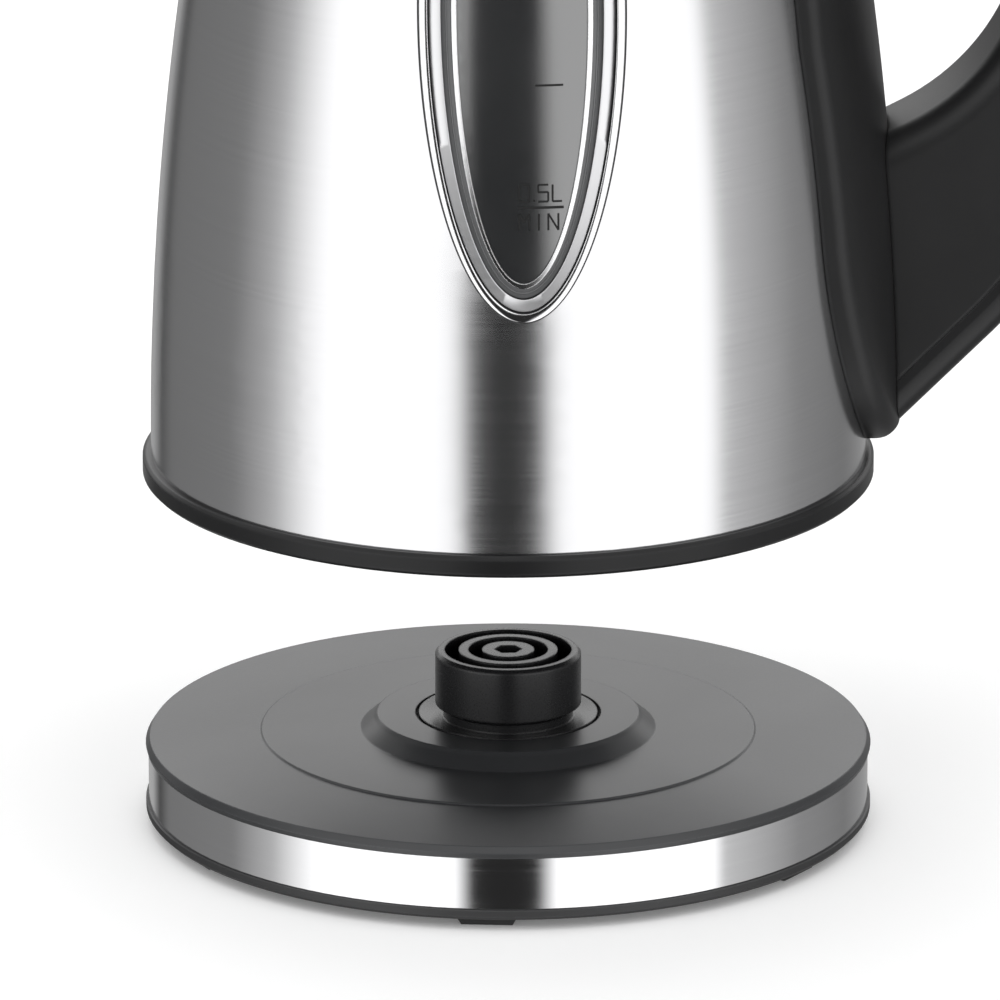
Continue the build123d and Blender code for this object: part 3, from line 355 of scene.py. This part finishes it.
bezel_bright = polished("bezel_bright", (0.86, 0.86, 0.87), 0.09, along=(30, 30, 300), depth=0.000002)
bezel_satin = polished("bezel_satin", (0.72, 0.72, 0.73), 0.34, along=(60, 60, 500), depth=0.000003)
# Painted shade: the slot between the bright ring and the satin band, and the bezel's inner wall down to the
# groove, get a near-black finish instead of steel.
painted_slot_shade = moulded("painted_slot_shade", (0.012, 0.012, 0.013), 0.55)
bezel = oval_ring("bezel_formed", [
    (0.00, -1.80), (0.00, 0.25), (0.08, 0.42), (0.26, 0.50), (1.62, 0.50), (1.78, 0.42), (1.82, -0.70),
    (2.06, -0.70), (2.08, -0.46), (2.16, -0.40), (4.52, -0.56), (4.64, -0.66), (4.70, -1.80),
], [bezel_bright, bezel_satin, painted_slot_shade], [0, 0, 0, 0, 0, 2, 2, 2, 1, 1, 1, 2, 2])
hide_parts("window_bezel")
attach(bezel, "kettle")

# Painted shadow: a thin near-black ring just outside the bezel stands in for the shade of its step. Also the
# gasket's bead in the groove.
shadow_ring_finish = moulded("painted_shadow_ring_finish", (0.020, 0.020, 0.021), 0.40, grain=0.00001)
groove_soft = moulded("gasket_groove", (0.130, 0.132, 0.135), 0.30, grain=0.00001, round_edge=0.0002)
dress(groove_soft, "window_gasket")
shadow_ring = oval_ring("painted_shadow_ring", [
    (-0.34, 0.02), (-0.28, 0.12), (-0.08, 0.14), (-0.01, 0.06), (-0.01, 0.02),
], [shadow_ring_finish], [0] * 5)
bead = oval_ring("groove_bead", [
    (5.55, -1.88), (5.60, -1.66), (5.78, -1.56), (5.96, -1.66), (6.00, -1.88),
], [groove_soft], [0] * 5)
for piece in (shadow_ring, bead):
    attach(piece, "kettle")
frame_bright = polished("frame_bright", (0.84, 0.84, 0.85), 0.12, along=(40, 40, 400), depth=0.000002)
dress(frame_bright, "window_frame")

# Pane of smoked plastic with a hard clear face. Its grey tint is a little cloudy from limescale at the foot.
pane = Work(bpy.data.materials.new("smoked_pane"))
where = pane.add("TexCoord", out=3)
scale = pane.add("TexNoise", sockets={"Vector": where, "Scale": 60.0, "Detail": 5.0})
drips = pane.add("Mapping", sockets={0: where, 3: (260, 260, 14)})
trails = pane.add("TexNoise", sockets={"Vector": drips, "Scale": 1.0, "Detail": 4.0})
smoke = pane.blend(scale, (0.016, 0.017, 0.018), (0.030, 0.031, 0.032))
gloss = 0.13 + (trails - 0.5) * 0.05 + (scale - 0.5) * 0.04
wave = pane.add("Bump", sockets={"Strength": 0.4, "Distance": 0.000004, "Height": trails})
clear_face = {"Base Color": smoke, "Roughness": gloss, "Normal": wave, "IOR": 2.6}
skin = pane.add("BsdfPrincipled", sockets=clear_face)
pane.add("OutputMaterial", sockets={0: skin})
dress(pane.owner, "window_lens")

# Level marks, printed in black ink on the pane: a line and two lines of plain strokes at each level.
strokes = {
    "0": [[(0, 0), (3, 0), (3, 5), (0, 5), (0, 0)]],
    "1": [[(0.8, 4), (1.8, 5), (1.8, 0)]],
    "5": [[(3, 5), (0, 5), (0, 2.8), (3, 2.8), (3, 0), (0, 0)]],
    "7": [[(0, 5), (3, 5), (1.2, 0)]],
    ".": [[(0.1, 0), (0.1, 0.6)]],
    "L": [[(0, 5), (0, 0), (2.8, 0)]],
    "M": [[(0, 0), (0, 5), (1.5, 2.4), (3, 5), (3, 0)]],
    "I": [[(1.5, 0), (1.5, 5)]],
    "N": [[(0, 0), (0, 5), (3, 0), (3, 5)]],
    "A": [[(0, 0), (1.5, 5), (3, 0)], [(0.6, 2), (2.4, 2)]],
    "X": [[(0, 0), (3, 5)], [(0, 5), (3, 0)]],
}
advance = {".": 1.3}
ink = moulded("level_ink", (0.004, 0.004, 0.004), 0.75, grain=0.000004, round_edge=0.00005)
ink_points, ink_faces = [], []


def ink_line(start, end, width):
    """One printed stroke between two places on the pane, cut short so that it follows the curve."""
    start, end = Vector(start), Vector(end)
    side = (end - start).normalized().orthogonal() * width / 2
    pieces = max(1, int((end - start).length / 0.8))
    for i in range(pieces):
        a, b = start.lerp(end, i / pieces), start.lerp(end, (i + 1) / pieces)
        base = len(ink_points)
        for corner in (a - side, b - side, b + side, a + side):
            ink_points.append(on_side(corner.x / 1000, corner.y / 1000, -0.00142))
        ink_faces.append((base, base + 1, base + 2, base + 3))


def ink_word(word, left, foot, high):
    """A word in plain strokes, from its lower left corner."""
    unit = high / 5
    for letter in word:
        for line in strokes[letter]:
            places = [(left + x * unit, foot + y * unit) for x, y in line]
            for start, end in zip(places, places[1:]):
                ink_line(start, end, 0.42)
        left += advance.get(letter, 4.3) * unit


foot_mm = wall_foot * 1000
for level, top_word, low_word in ((75.7, "0.5L", "MIN"), (154.0, "MAX", "1.7L")):
    ink_line((-1.2, foot_mm + level), (8.6, foot_mm + level), 0.55)
    ink_word(top_word, -0.9, foot_mm + level + 1.3, 3.6)
    ink_word(low_word, -0.9, foot_mm + level - 4.9, 3.6)
for level in (101.8, 127.9):
    ink_line((2.6, foot_mm + level), (8.6, foot_mm + level), 0.45)
ink_mesh = bpy.data.meshes.new("level_marks")
ink_mesh.from_pydata(ink_points, [], ink_faces)
ink_mesh.materials.append(ink)
marks = bpy.data.objects.new("level_marks", ink_mesh)
bpy.context.scene.collection.objects.link(marks)
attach(marks, "kettle")

# Handle: the shield-shaped plate on the body, the hollow inner half and the cover strip screwed on from
# behind. All three are black mouldings; the plate and the inner half have a soft satin texture.
handle_black = moulded("handle_black", (0.013, 0.013, 0.0135), 0.38, round_edge=0.0012, sheen=1.36)
strip_black = moulded("strip_black", (0.010, 0.010, 0.0105), 0.30, grain=0.00001, sheen=1.36)
dress(handle_black, "handle_plate", "handle_body")
dress(strip_black, "handle_cover", "switch_rocker")

# Top collar and the lid's crown. Black mouldings, glossier than the handle.
lid_black = moulded("lid_black", (0.020, 0.020, 0.022), 0.24, grain=0.00001, round_edge=0.0008)
dress(lid_black, "top_collar", "lid_cover")

# Lid's inner plate and the spout filter, in grey food-safe plastic, and the silicone seal between the lid
# and the ledge.
food_grey = moulded("food_grey", (0.24, 0.24, 0.25), 0.45)
seal_soft = moulded("seal_silicone", (0.50, 0.51, 0.51), 0.55, size=1200.0)
dress(food_grey, "lid_inner", "spout_filter")
dress(seal_soft, "lid_seal")
